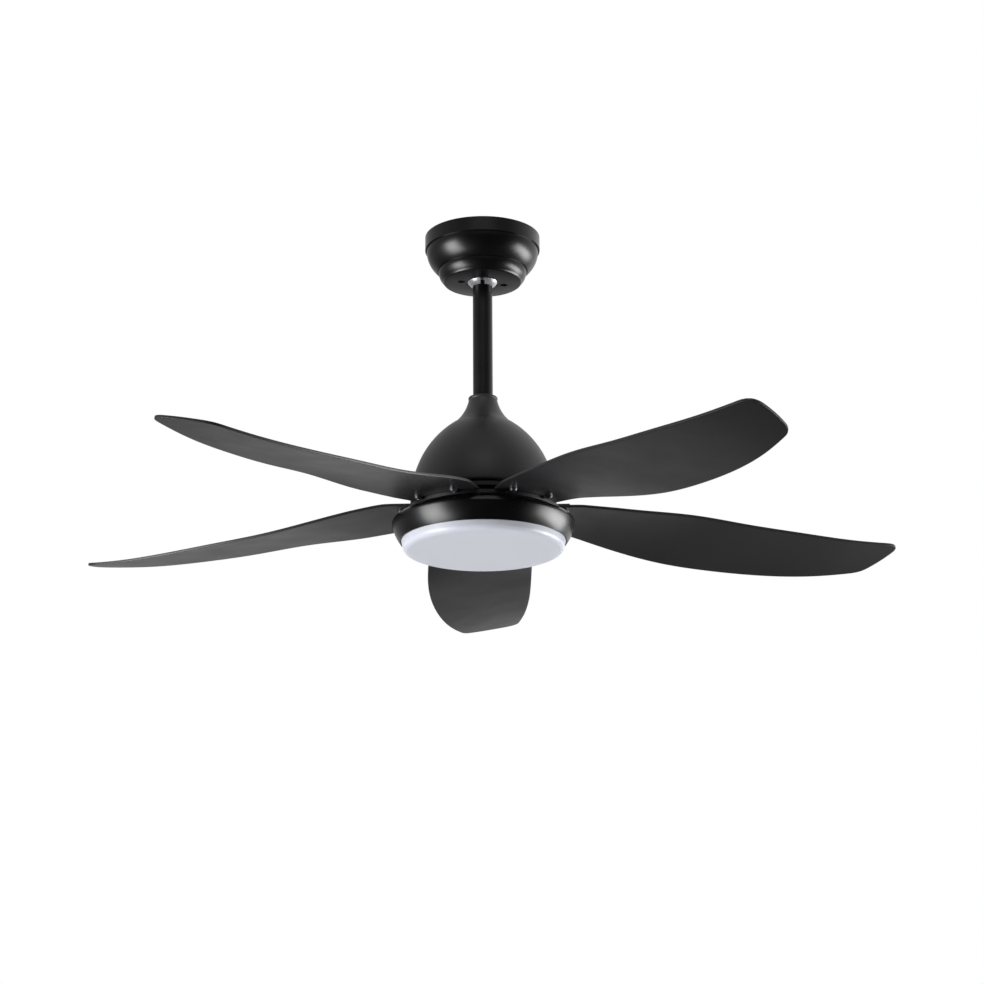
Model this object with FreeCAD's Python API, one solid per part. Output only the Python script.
import FreeCAD, Part
import math
import os

# Ceiling fan with a light, millimetres, +Z up.
# The origin lies on the fan's axis in the ceiling plane, and the fan hangs below it.

# ---- whole fan -------------------------------------------------------------
BLADE_COUNT = 5
FIRST_BLADE_ANGLE = 18.0
BLADE_TIP_RADIUS = 532.0
ROD_LENGTH = 213.0

# ---- canopy and hanging bracket ---------------------------------------------
CANOPY_RADIUS = 71.0
CANOPY_HEIGHT = 59.8
CANOPY_WALL = 1.2
CANOPY_BAND_HEIGHT = 17.3
CANOPY_LOWER_BAND_HEIGHT = 15.6
CANOPY_STEP = 1.8
CANOPY_BOWL_END_RADIUS = 56.2
CANOPY_PLATE_RADIUS = 48.3
CANOPY_BOWL_BULGE = 3.4
CANOPY_EDGE_ROUND = 1.6
CANOPY_INNER_SLOPE = 1.1
CANOPY_BALL_CLEARANCE = 0.5
CANOPY_SCREW_MARGIN = 6.5
CANOPY_SCREW_DIAMETER = 3.9
CANOPY_SCREW_HEAD_RADIUS = 4.0
CANOPY_SCREW_HEAD_HEIGHT = 1.5
CANOPY_SCREW_ANGLE = 13.0
RECESS_RADIUS = 4.7
RECESS_WALL = 1.0

BRACKET_LENGTH = 124.0
BRACKET_WIDTH = 36.0
BRACKET_SHEET = 2.5
BRACKET_LEG_SPACING = 70.0
SADDLE_CANOPY_GAP = 0.4
SADDLE_HEIGHT = 5.0
SADDLE_RIM = 9.9
SADDLE_CLEARANCE = 0.1
SADDLE_MOUTH_CLEARANCE = 1.5
CEILING_SLOT_SPACING = 89.0
CEILING_SLOT_LENGTH = 14.0
CEILING_SLOT_WIDTH = 5.6
TAB_WIDTH = 4.6
TAB_REACH = 3.4
GROUND_SCREW_Z = -26.0
GROUND_SCREW_DIAMETER = 3.8
GROUND_SCREW_HEAD_RADIUS = 4.0
GROUND_SCREW_HEAD_HEIGHT = 2.4
GROUND_HOLE_DIAMETER = 4.0
RECEIVER_LEG_GAP = 6.0
RECEIVER_SIDE_MARGIN = 1.0
RECEIVER_DEPTH = 14.5
RECEIVER_ROUND = 2.0
TERMINAL_THICKNESS = 12.0
TERMINAL_LENGTH = 30.0
TERMINAL_TOP_Z = -18.0
TERMINAL_HEIGHT = 16.0
TERMINAL_SPACING = 10.0
TERMINAL_SCREW_HOLE_RADIUS = 2.2
TERMINAL_SCREW_HOLE_DEPTH = 8.0
TERMINAL_WIRE_HOLE_RADIUS = 1.8
TERMINAL_WIRE_HOLE_RISE = 4.0

# ---- screws everywhere ---------------------------------------------------------
THREAD_CLEARANCE = 0.05
SCREW_CLEARANCE = 0.25
SCREW_EDGE_SHARE = 0.45
RECESS_REACH_SHARE = 0.55
RECESS_WIDTH_SHARE = 0.12

# ---- hanger ball and downrod ------------------------------------------------
BALL_RADIUS = 23.4
BALL_DROP = 45.0
BALL_TOP_FLAT = 17.5
GROOVE_CLEARANCE = 0.3
GROOVE_DEPTH = 3.9
GROOVE_START = 8.0
ROD_DIAMETER = 24.2
ROD_WALL = 2.0
ROD_ABOVE_BALL_CENTRE = 12.0
ROD_FIT = 0.1
PIN_DIAMETER = 6.0
PIN_CLEARANCE = 0.05
BALL_PIN_LENGTH = 40.0
BALL_PIN_RISE = 3.0
BALL_SCREW_RISE = 8.0
BALL_SCREW_SINK = 1.0
BALL_SCREW_SOCKET_RADIUS = 1.5
BALL_SCREW_SOCKET_DEPTH = 3.0
SET_SCREW_DIAMETER = 6.0
SET_SCREW_HEAD_RADIUS = 4.8
SET_SCREW_HEAD_HEIGHT = 4.0

# ---- coupling and neck cover -------------------------------------------------
NECK_HEIGHT = 34.6
NECK_LIP_HEIGHT = 3.0
NECK_TOP_MARGIN = 5.7
NECK_BASE_MARGIN = 23.8
NECK_HOLLOW = 3.0
NECK_WALL = 1.8
NECK_ROD_CLEARANCE = 0.4
NECK_RIM_ROUND = 1.0
ROD_IN_NECK = 36.8
COUPLING_WALL = 4.9
COUPLING_TOP_BELOW_NECK = 12.5
COUPLING_FLANGE_RADIUS = 30.0
COUPLING_FLANGE_HEIGHT = 6.5
COUPLING_BOSS_RADIUS = 15.5
COUPLING_BOSS_HEIGHT = 10.0
CLEVIS_BELOW_NECK = 21.0
SET_SCREWS_BELOW_NECK = 29.0
CLEVIS_PIN_LENGTH = 42.0
CLEVIS_HEAD_MARGIN = 1.5
CLEVIS_HEAD_LENGTH = 2.0
CLIP_WIRE = 1.6
CLIP_LEG = 6.0
CLIP_FROM_COUPLING = 1.5
CLIP_GAP = 0.1
ROD_END_GAP = 0.5
FLANGE_SCREW_CIRCLE = 24.5
FLANGE_SCREW_COUNT = 3
FLANGE_SCREW_DIAMETER = 3.7

# ---- motor dome and driver board ---------------------------------------------
DOME_HEIGHT = 94.2
DOME_RADIUS = 87.0
DOME_BULGE = 13.0
DOME_WALL = 2.0
DOME_NECK_STEP = 0.4
DOME_COUPLING_GAP = 0.6
DOME_SCREW_HOLE_RADIUS = 2.3
DOME_SCREW_HEAD_RADIUS = 3.6
DOME_SCREW_HEAD_HEIGHT = 2.4
STANDOFF_RADIUS = 3.2
STANDOFF_HOLE_DEPTH = 8.0
STANDOFF_STUD_SHORT = 1.0
BOARD_RADIUS = 46.0
BOARD_HOLE_RADIUS = 16.0
BOARD_THICKNESS = 1.6
BOARD_DROP = 17.7
BOARD_SCREW_DIAMETER = 2.9
BOARD_SCREW_HEAD_RADIUS = 2.8
BOARD_SCREW_HEAD_HEIGHT = 1.8
BOARD_SCREW_REACH = 6.0
COMPONENT_MARGIN = 8.0
CAPACITOR_RADIUS = 5.0
CAPACITOR_HEIGHT = 12.0
CHOKE_RADIUS = 5.0
CHOKE_WIRE_RADIUS = 2.2
CHIP_SIZE = (10.0, 10.0, 2.0)
SOCKET_SIZE = (8.0, 18.0, 9.0)
TRANSISTOR_SIZE = (6.0, 5.0, 6.0)

# ---- motor --------------------------------------------------------------------
SHAFT_UPPER_RADIUS = 11.0
SHAFT_RADIUS = 8.5
SHAFT_BORE_RADIUS = 5.5
SHAFT_TOP_GAP = 2.5
CIRCLIP_DROP = 1.4
CIRCLIP_THICKNESS = 1.1
CIRCLIP_GROOVE_WIDTH = 1.2
CIRCLIP_GROOVE_DEPTH = 0.8
CIRCLIP_BITE = 0.7
CIRCLIP_WALL = 2.2
CIRCLIP_MOUTH = 6.0
BEARING_RADIUS = 20.0
BEARING_WIDTH = 12.0
BEARING_RACE_WALL = 4.1
BEARING_BALL_RADIUS = 2.4
BEARING_BALL_COUNT = 8
BEARING_CLEARANCE = 0.05
LOWER_BEARING_RISE = 2.5
UPPER_BEARING_SINK = 2.0
BELL_TOP_ABOVE_HUB = 57.5
BELL_RADIUS = 67.0
BELL_WALL = 2.5
BELL_ROOF = 3.0
BELL_SEAT_WALL = 4.0
BELL_BEARING_LIP = 3.0
BELL_CORNER_ROUND = 4.0
BELL_CORNER_BULGE = 1.2
BELL_INNER_BEVEL = 2.0
BELL_FLANGE_WIDTH = 11.0
BELL_FLANGE_HEIGHT = 3.0
BELL_SCREW_COUNT = 5
BELL_SCREW_DIAMETER = 3.9
BELL_SCREW_HEAD_RADIUS = 3.8
BELL_SCREW_HEAD_HEIGHT = 2.4
BELL_SCREW_REACH = 5.0
BELL_SCREW_HOLE_DEPTH = 5.5
STATOR_TEETH = 12
STATOR_RISE = 2.5
STATOR_HEIGHT = 22.0
STATOR_BACK_RADIUS = 24.0
STATOR_SLEEVE_WALL = 4.5
TOOTH_WIDTH = 8.0
TOOTH_TIP_HEIGHT = 4.0
TOOTH_GAP_ANGLE = 4.0
COIL_WALL = 3.0
COIL_OVERHANG = 4.0
COIL_TIP_GAP = 1.5
COIL_ROUND = 2.5
COIL_START_RADIUS = 32.0
MAGNET_COUNT = 14
MAGNET_THICKNESS = 3.7
MAGNET_OVERHANG = 2.0
MAGNET_GAP_ANGLE = 1.5
MAGNET_GLUE = 0.1
AIR_GAP = 1.0

# ---- blade hub -----------------------------------------------------------------
HUB_GAP = 3.5
HUB_DISC_RADIUS = 88.0
HUB_DISC_HEIGHT = 5.0
HUB_GROOVE_RADIUS = 80.0
HUB_LUG_RADIUS = 104.0
HUB_LUG_HEIGHT = 3.3
HUB_LUG_ANGLE = 40.0
HUB_FLANGE_RADIUS = 93.0
HUB_FLANGE_HEIGHT = 4.5
HUB_RIM_ROUND = 1.4
HUB_BOSS_WALL = 5.0
HUB_BEARING_LIP = 7.0
HUB_FLOOR = 5.0
HUB_POCKET_RADIUS = 66.0

# ---- blades ---------------------------------------------------------------------
BLADE_THICKNESS = 3.0
BLADE_FIT = 0.2
BLADE_FOLD_RADIUS = 108.0
TONGUE_RADIUS = 83.0
TONGUE_LEAD_ANGLE = 28.5
TONGUE_TRAIL_ANGLE = 34.5
BLADE_CAMBER = 1.6
BLADE_SECTION_HALF_WIDTH = 86.0
LEAD_CORNER_ROUND = 22.5
TRAIL_CORNER_ROUND = 21.0
TIP_BULGE = 1.5
# share of the blade's length from the fold, drop of the mid line, pitch in degrees
BLADE_STATIONS = (
    (0.00, 0.0, 0.0),
    (0.17, 8.7, 4.6),
    (0.34, 15.3, 9.2),
    (0.50, 21.4, 9.7),
    (0.67, 26.1, 10.5),
    (0.83, 27.9, 11.3),
    (1.04, 23.1, 13.0),
)
# share of the blade's length from the fold, distance of the edge from the blade's mid line
LEADING_EDGE = (
    (0.00, 51.5), (0.12, 58.1), (0.28, 62.1), (0.45, 62.4), (0.62, 61.4), (0.80, 56.4), (1.00, 46.3),
)
TRAILING_EDGE = (
    (0.00, 58.5), (0.12, 66.9), (0.28, 71.8), (0.45, 70.6), (0.62, 62.4), (0.80, 46.2), (0.95, 27.1),
)
BLADE_SCREW_CIRCLE = 98.5
BLADE_SCREW_ANGLE = 15.2
BLADE_SCREW_DIAMETER = 4.9
BLADE_SCREW_HEAD_RADIUS = 4.2
BLADE_SCREW_HEAD_HEIGHT = 4.2
BLADE_WASHER_RADIUS = 5.0
BLADE_WASHER_CLEARANCE = 0.15
BLADE_WASHER_HEIGHT = 1.0

# ---- light ------------------------------------------------------------------------
PLATE_BELOW_HUB = 8.5
PLATE_THICKNESS = 2.0
SPACER_WALL = 2.5
SHAFT_HOLE_CLEARANCE = 0.1
RING_RADIUS = 109.8
RING_LIP_RADIUS = 105.0
RING_TOP_ABOVE_PLATE = 1.2
RING_LIP_DROP = 0.6
RING_SHOULDER_INSET = 1.6
RING_SHOULDER_DROP = 1.4
RING_BELLY_DROP = 6.0
RING_INNER_BELLY_DROP = 7.0
RING_LIP_BULGE = 0.9
RING_SHOULDER_BULGE = 0.6
RING_FOOT_WIDTH = 1.6
RING_STEP_HEIGHT = 1.2
RING_PLATE_OVERLAP = 0.2
RING_TAB_COUNT = 3
RING_TAB_START = 30.0
RING_TAB_INSET = 6.0
RING_TAB_WIDTH = 12.0
RING_TAB_THICKNESS = 2.0
RING_SCREW_DIAMETER = 3.7
RING_SCREW_HEAD_RADIUS = 3.6
RING_SCREW_HEAD_HEIGHT = 2.2
RING_SCREW_REACH = 1.5
RING_SCREW_HOLE_RADIUS = 2.2
RING_HEIGHT = 26.9
RING_WALL = 1.8
RING_PLATE_CLEARANCE = 0.3
RING_OPENING_RADIUS = 98.9
RING_TAPER_BULGE = 1.2
LENS_CLEARANCE = 0.4
LENS_DROP = 12.3
LENS_LEAN = 1.0
LENS_EDGE_ROUND = 8.0
LENS_WALL = 1.8
LENS_COLLAR_HEIGHT = 8.0
LUG_COUNT = 3
LUG_ANGLE = 12.0
LUG_REACH = 2.6
LUG_HEIGHT = 2.4
LUG_CLEARANCE = 0.3
LEDGE_RISE = 5.2
LEDGE_HEIGHT = 1.8
UNLOCK_ANGLE = 22.0
SLOT_ANGLE = 18.0
SLOT_CLEARANCE = 1.2
SHAFT_BELOW_PLATE = 12.0
NUT_MARGIN = 5.5
NUT_HEIGHT = 8.0
WASHER_MARGIN = 8.0
WASHER_HEIGHT = 2.0
LED_BOARD_RADIUS = 90.0
LED_BOARD_THICKNESS = 1.5
LED_BOARD_DROP = 20.0
LED_SIZE = 3.0
LED_HEIGHT = 0.8
LED_ROWS = ((24.0, 6), (48.0, 12), (72.0, 18))
LED_STANDOFF_CIRCLE = 80.0
LED_STANDOFF_COUNT = 4
LED_STANDOFF_START = 45.0
LED_STANDOFF_RADIUS = 3.0
LED_SCREW_DIAMETER = 3.2
LED_SCREW_HEAD_RADIUS = 2.8
LED_SCREW_HEAD_HEIGHT = 1.6
LED_SCREW_HOLE_RADIUS = 1.7
LED_DRIVER_SIZE = (84.0, 34.0, 15.0)
LED_DRIVER_ROUND = 2.5
LED_DRIVER_OFFSET = 42.0
LED_DRIVER_FOOT = 9.0
LED_DRIVER_FOOT_WIDTH = 14.0
LED_DRIVER_FOOT_HEIGHT = 2.0
LED_DRIVER_SCREW_DIAMETER = 3.5
LED_DRIVER_SCREW_HEAD_RADIUS = 3.2
LED_DRIVER_SCREW_HEAD_HEIGHT = 2.0

# ---- levels down the axis -------------------------------------------------------
rod_radius = ROD_DIAMETER / 2
neck_base_radius = rod_radius + NECK_BASE_MARGIN
ball_z = -BALL_DROP
rod_top_z = ball_z + ROD_ABOVE_BALL_CENTRE
rod_bottom_z = rod_top_z - ROD_LENGTH
neck_top_z = rod_bottom_z + ROD_IN_NECK
seam_z = neck_top_z - NECK_HEIGHT
dome_bottom_z = seam_z - DOME_HEIGHT
flange_top_z = seam_z - DOME_WALL
flange_bottom_z = flange_top_z - COUPLING_FLANGE_HEIGHT
board_z = flange_bottom_z - BOARD_DROP
hub_top_z = dome_bottom_z - HUB_GAP
groove_top_z = hub_top_z - HUB_DISC_HEIGHT
blade_top_z = groove_top_z - HUB_LUG_HEIGHT
blade_bottom_z = blade_top_z - BLADE_THICKNESS
hub_flange_top_z = blade_bottom_z - BLADE_FIT
hub_bottom_z = hub_flange_top_z - HUB_FLANGE_HEIGHT
lower_bearing_bottom_z = hub_bottom_z + LOWER_BEARING_RISE
lower_bearing_top_z = lower_bearing_bottom_z + BEARING_WIDTH
bell_top_z = hub_top_z + BELL_TOP_ABOVE_HUB
upper_bearing_top_z = bell_top_z - UPPER_BEARING_SINK
upper_bearing_bottom_z = upper_bearing_top_z - BEARING_WIDTH
stator_mid_z = (upper_bearing_bottom_z + hub_top_z) / 2 + STATOR_RISE
plate_top_z = hub_bottom_z - PLATE_BELOW_HUB
plate_bottom_z = plate_top_z - PLATE_THICKNESS
shaft_bottom_z = plate_bottom_z - SHAFT_BELOW_PLATE
ring_top_z = plate_top_z + RING_TOP_ABOVE_PLATE
ring_bottom_z = ring_top_z - RING_HEIGHT
led_board_z = plate_bottom_z - LED_BOARD_DROP
ledge_top_z = ring_bottom_z + LEDGE_RISE
saddle_bottom_z = -CANOPY_HEIGHT + 2 * CANOPY_WALL + SADDLE_CANOPY_GAP
saddle_top_z = saddle_bottom_z + SADDLE_HEIGHT
clevis_z = neck_top_z - CLEVIS_BELOW_NECK
set_screw_z = neck_top_z - SET_SCREWS_BELOW_NECK
circlip_bottom_z = lower_bearing_bottom_z - CIRCLIP_DROP
coupling_radius = rod_radius + COUPLING_WALL
clip_x = coupling_radius + CLIP_FROM_COUPLING
plate_radius = RING_LIP_RADIUS - RING_WALL / 2 - RING_PLATE_CLEARANCE
ring_tab_circle = plate_radius - RING_TAB_INSET
bell_screw_circle = BELL_RADIUS + BELL_FLANGE_WIDTH / 2
bell_inner_radius = BELL_RADIUS - BELL_WALL
magnet_inner_radius = bell_inner_radius - MAGNET_THICKNESS
stator_radius = magnet_inner_radius - AIR_GAP
plate_ball_radius = math.sqrt(BALL_RADIUS ** 2 - (CANOPY_HEIGHT - CANOPY_WALL - BALL_DROP) ** 2)
canopy_hole_radius = plate_ball_radius + CANOPY_BALL_CLEARANCE
saddle_hole_radius = math.sqrt(BALL_RADIUS ** 2 - (ball_z - saddle_bottom_z) ** 2)
saddle_outer_radius = saddle_hole_radius + SADDLE_RIM
canopy_screw_circle = saddle_hole_radius + CANOPY_SCREW_MARGIN
pin_hole_radius = PIN_DIAMETER / 2 + PIN_CLEARANCE
led_driver_screw_x = LED_DRIVER_SIZE[0] / 2 + LED_DRIVER_FOOT / 2
blade_angles = [FIRST_BLADE_ANGLE + 360.0 / BLADE_COUNT * k for k in range(BLADE_COUNT)]


# ---- helpers ----------------------------------------------------------------------
def vec(x, y, z):
    return FreeCAD.Vector(x, y, z)


def cylinder(radius, bottom, top, x=0.0, y=0.0):
    return Part.makeCylinder(radius, top - bottom, vec(x, y, bottom))


def tube(outer, inner, bottom, top):
    return cylinder(outer, bottom, top).cut(cylinder(inner, bottom - 1, top + 1))


def rod_between(radius, start, end):
    path = end - start
    return Part.makeCylinder(radius, path.Length, start, path)


def block(x0, x1, y0, y1, z0, z1):
    return Part.makeBox(x1 - x0, y1 - y0, z1 - z0, vec(x0, y0, z0))


def turned_about_z(shape, angle):
    copy = shape.copy()
    copy.rotate(vec(0, 0, 0), vec(0, 0, 1), angle)
    return copy


def spread(shape, count, start=0.0):
    """Copies of a shape, evenly spaced about the axis."""
    return [turned_about_z(shape, start + 360.0 / count * k) for k in range(count)]


def bulge_point(p, q, bulge):
    """The middle of an arc from p to q that stands off its chord by bulge, to the chord's left."""
    dr, dz = q[0] - p[0], q[1] - p[1]
    length = math.hypot(dr, dz)
    return ((p[0] + q[0]) / 2 - dz / length * bulge, (p[1] + q[1]) / 2 + dr / length * bulge)


def bulged(p, q, bulge):
    """An outline entry: the arc's middle and its end."""
    return (bulge_point(p, q, bulge), q)


def revolved(outline):
    """A solid of revolution from (radius, height) points; a pair of points is an arc."""
    edges = []
    here = vec(outline[0][0], 0, outline[0][1])
    for entry in outline[1:] + [outline[0]]:
        if isinstance(entry[0], tuple):
            middle, end = entry
            there = vec(end[0], 0, end[1])
            edges.append(Part.Arc(here, vec(middle[0], 0, middle[1]), there).toShape())
        else:
            there = vec(entry[0], 0, entry[1])
            edges.append(Part.LineSegment(here, there).toShape())
        here = there
    face = Part.Face(Part.Wire(edges))
    return face.revolve(vec(0, 0, 0), vec(0, 0, 1), 360)


def ring_sector(outer, inner, bottom, top, start, sweep):
    """Part of a ring, from the angle start through sweep degrees."""
    full = Part.makeCylinder(outer, top - bottom, vec(0, 0, bottom), vec(0, 0, 1), sweep)
    return turned_about_z(full, start).cut(cylinder(inner, bottom - 1, top + 1))


def hexagon(radius, bottom, top, x=0.0, y=0.0):
    corners = [vec(x + radius * math.cos(math.radians(60 * k)),
                   y + radius * math.sin(math.radians(60 * k)), bottom) for k in range(6)]
    return Part.Face(Part.makePolygon(corners + corners[:1])).extrude(vec(0, 0, top - bottom))


def pan_screw(head_radius, head_height, diameter, shank_length):
    """A cross-recess screw standing head down: the head's seat is at z = 0, the shank goes up."""
    edge_z = -head_height * SCREW_EDGE_SHARE
    head = revolved([(0, 0), (head_radius, 0), (head_radius, edge_z),
                     bulged((head_radius, edge_z), (0, -head_height), -head_radius * 0.2)])
    screw = head.fuse(cylinder(diameter / 2, -0.2, shank_length))
    reach = head_radius * RECESS_REACH_SHARE
    half = head_radius * RECESS_WIDTH_SHARE
    for turn in (0, 90):
        slot = block(-reach, reach, -half, half, -head_height - 1, -head_height * RECESS_REACH_SHARE)
        screw = screw.cut(turned_about_z(slot, turn))
    return screw.removeSplitter()


def upright_edges(shape):
    return [e for e in shape.Edges if abs(e.tangentAt(e.FirstParameter).z) > 0.9]


def placed(shape, x, y, z):
    copy = shape.copy()
    copy.translate(vec(x, y, z))
    return copy


def upside_down(shape):
    copy = shape.copy()
    copy.rotate(vec(0, 0, 0), vec(1, 0, 0), 180)
    return copy


def save(name, shapes):
    """Writes one node: a solid, or a group of separate solids."""
    group = shapes if isinstance(shapes, list) else [shapes]
    solids = [solid for shape in group for solid in shape.Solids]
    shape = solids[0] if len(solids) == 1 else Part.makeCompound(solids)
    shape.exportStep(os.path.join("parts", name + ".step"))
    print(name, len(solids), "solid(s)", round(sum(s.Volume for s in solids)), "mm3")


# ---- ceiling side ------------------------------------------------------------------
def canopy_screw_points():
    angles = [math.radians(CANOPY_SCREW_ANGLE + turn) for turn in (0, 180)]
    return [(canopy_screw_circle * math.cos(a), canopy_screw_circle * math.sin(a)) for a in angles]


def canopy():
    """A pressed steel bowl, open at the ceiling, with two steps in its side."""
    band_z = -CANOPY_BAND_HEIGHT
    lower_band_z = -CANOPY_HEIGHT + CANOPY_LOWER_BAND_HEIGHT
    bowl_top = (CANOPY_RADIUS - CANOPY_STEP, band_z)
    bowl_end = (CANOPY_BOWL_END_RADIUS, lower_band_z)
    band_top = (CANOPY_BOWL_END_RADIUS - CANOPY_STEP, lower_band_z)
    band_end = (CANOPY_PLATE_RADIUS, -CANOPY_HEIGHT + CANOPY_EDGE_ROUND)
    plate_edge = (CANOPY_PLATE_RADIUS - CANOPY_EDGE_ROUND, -CANOPY_HEIGHT)
    wall = CANOPY_WALL
    slope = wall * CANOPY_INNER_SLOPE
    outline = [
        (CANOPY_RADIUS, 0), (CANOPY_RADIUS, band_z), bowl_top,
        bulged(bowl_top, bowl_end, CANOPY_BOWL_BULGE), band_top,
        bulged(band_top, band_end, CANOPY_BOWL_BULGE / 2),
        bulged(band_end, plate_edge, CANOPY_EDGE_ROUND * 0.25),
        (canopy_hole_radius, -CANOPY_HEIGHT), (canopy_hole_radius, -CANOPY_HEIGHT + wall),
        (plate_edge[0] - slope, plate_edge[1] + wall), (band_end[0] - slope, band_end[1] + wall),
        bulged((band_end[0] - slope, band_end[1] + wall), (band_top[0] - slope, band_top[1] + wall),
               -CANOPY_BOWL_BULGE / 2),
        (bowl_end[0] - slope, bowl_end[1] + wall),
        bulged((bowl_end[0] - slope, bowl_end[1] + wall), (bowl_top[0] - slope, band_z + wall),
               -CANOPY_BOWL_BULGE),
        (CANOPY_RADIUS - wall, band_z + wall), (CANOPY_RADIUS - wall, 0),
    ]
    shell = revolved(outline)
    for x, y in canopy_screw_points():
        dimple = cylinder(RECESS_RADIUS + RECESS_WALL, -CANOPY_HEIGHT, saddle_bottom_z, x, y)
        recess = cylinder(RECESS_RADIUS, -CANOPY_HEIGHT - 1, saddle_bottom_z - wall, x, y)
        hole_radius = CANOPY_SCREW_DIAMETER / 2 + SCREW_CLEARANCE
        hole = cylinder(hole_radius, -CANOPY_HEIGHT - 1, saddle_bottom_z + 1, x, y)
        shell = shell.fuse(dimple).cut(recess).cut(hole)
    return shell.removeSplitter()


def hanging_bracket():
    """A folded steel strap: slotted top, two legs and the saddle that carries the ball."""
    leg_x = BRACKET_LEG_SPACING / 2
    side = BRACKET_WIDTH / 2
    top = block(-BRACKET_LENGTH / 2, BRACKET_LENGTH / 2, -side, side, -BRACKET_SHEET, 0)
    for x in (-CEILING_SLOT_SPACING / 2, CEILING_SLOT_SPACING / 2):
        reach = (CEILING_SLOT_LENGTH - CEILING_SLOT_WIDTH) / 2
        slot = block(x - reach, x + reach, -CEILING_SLOT_WIDTH / 2, CEILING_SLOT_WIDTH / 2, -5, 1)
        for end in (-reach, reach):
            slot = slot.fuse(cylinder(CEILING_SLOT_WIDTH / 2, -5, 1, x + end, 0))
        top = top.cut(slot)
    bracket = top
    for sign in (-1, 1):
        inner = sign * leg_x
        outer = sign * (leg_x + BRACKET_SHEET)
        leg = block(min(inner, outer), max(inner, outer), -side, side, saddle_bottom_z, 0)
        bracket = bracket.fuse(leg)
    floor = block(-leg_x - 0.5, leg_x + 0.5, -side, side, saddle_bottom_z, saddle_top_z)
    saddle = floor.fuse(cylinder(saddle_outer_radius, saddle_bottom_z, saddle_top_z))
    saddle = saddle.cut(Part.makeSphere(BALL_RADIUS + SADDLE_CLEARANCE, vec(0, 0, ball_z)))
    mouth = rod_radius + SADDLE_MOUTH_CLEARANCE
    saddle = saddle.cut(block(-mouth, mouth, 0, saddle_outer_radius + 5,
                              saddle_bottom_z - 1, saddle_top_z + 1))
    tab = block(-TAB_WIDTH / 2, TAB_WIDTH / 2, -saddle_outer_radius + 3, 0, saddle_bottom_z, saddle_top_z)
    tip = BALL_RADIUS - TAB_REACH
    tab = tab.cut(Part.makeCylinder(tip, 60, vec(-30, 0, ball_z), vec(1, 0, 0)))
    bracket = bracket.fuse(saddle).fuse(tab)
    thread_radius = CANOPY_SCREW_DIAMETER / 2 + THREAD_CLEARANCE
    for x, y in canopy_screw_points():
        bracket = bracket.cut(cylinder(thread_radius, saddle_bottom_z - 1, saddle_top_z + 1, x, y))
    earth_hole = rod_between(GROUND_HOLE_DIAMETER / 2, vec(leg_x - 1, 0, GROUND_SCREW_Z),
                             vec(leg_x + 10, 0, GROUND_SCREW_Z))
    return bracket.cut(earth_hole).removeSplitter()


def canopy_screws():
    screw = pan_screw(CANOPY_SCREW_HEAD_RADIUS, CANOPY_SCREW_HEAD_HEIGHT, CANOPY_SCREW_DIAMETER,
                      SADDLE_HEIGHT)
    seat_z = saddle_bottom_z - CANOPY_WALL
    return [placed(screw, x, y, seat_z) for x, y in canopy_screw_points()]


def receiver_box():
    """The remote-control receiver, fixed under the bracket's top between its legs."""
    half_length = BRACKET_LEG_SPACING / 2 - RECEIVER_LEG_GAP
    half_width = BRACKET_WIDTH / 2 - RECEIVER_SIDE_MARGIN
    top = -BRACKET_SHEET
    box = block(-half_length, half_length, -half_width, half_width, top - RECEIVER_DEPTH, top)
    return box.makeFillet(RECEIVER_ROUND, upright_edges(box))


def terminal_block():
    """A three-way block on the outside of the bracket's left leg."""
    face = -BRACKET_LEG_SPACING / 2 - BRACKET_SHEET
    half = TERMINAL_LENGTH / 2
    bottom = TERMINAL_TOP_Z - TERMINAL_HEIGHT
    body = block(face - TERMINAL_THICKNESS, face, -half, half, bottom, TERMINAL_TOP_Z)
    screw_floor = TERMINAL_TOP_Z - TERMINAL_SCREW_HOLE_DEPTH
    wire_z = bottom + TERMINAL_WIRE_HOLE_RISE
    for y in (-TERMINAL_SPACING, 0, TERMINAL_SPACING):
        middle = face - TERMINAL_THICKNESS / 2
        body = body.cut(cylinder(TERMINAL_SCREW_HOLE_RADIUS, screw_floor, TERMINAL_TOP_Z + 1, middle, y))
        wire_hole = rod_between(TERMINAL_WIRE_HOLE_RADIUS, vec(face - TERMINAL_THICKNESS - 1, y, wire_z),
                                vec(face, y, wire_z))
        body = body.cut(wire_hole)
    return body


def ground_screw():
    """The earth screw on the outside of the right leg."""
    screw = pan_screw(GROUND_SCREW_HEAD_RADIUS, GROUND_SCREW_HEAD_HEIGHT, GROUND_SCREW_DIAMETER,
                      BRACKET_SHEET)
    screw.rotate(vec(0, 0, 0), vec(0, 1, 0), -90)
    return placed(screw, BRACKET_LEG_SPACING / 2 + BRACKET_SHEET, 0, GROUND_SCREW_Z)


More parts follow.
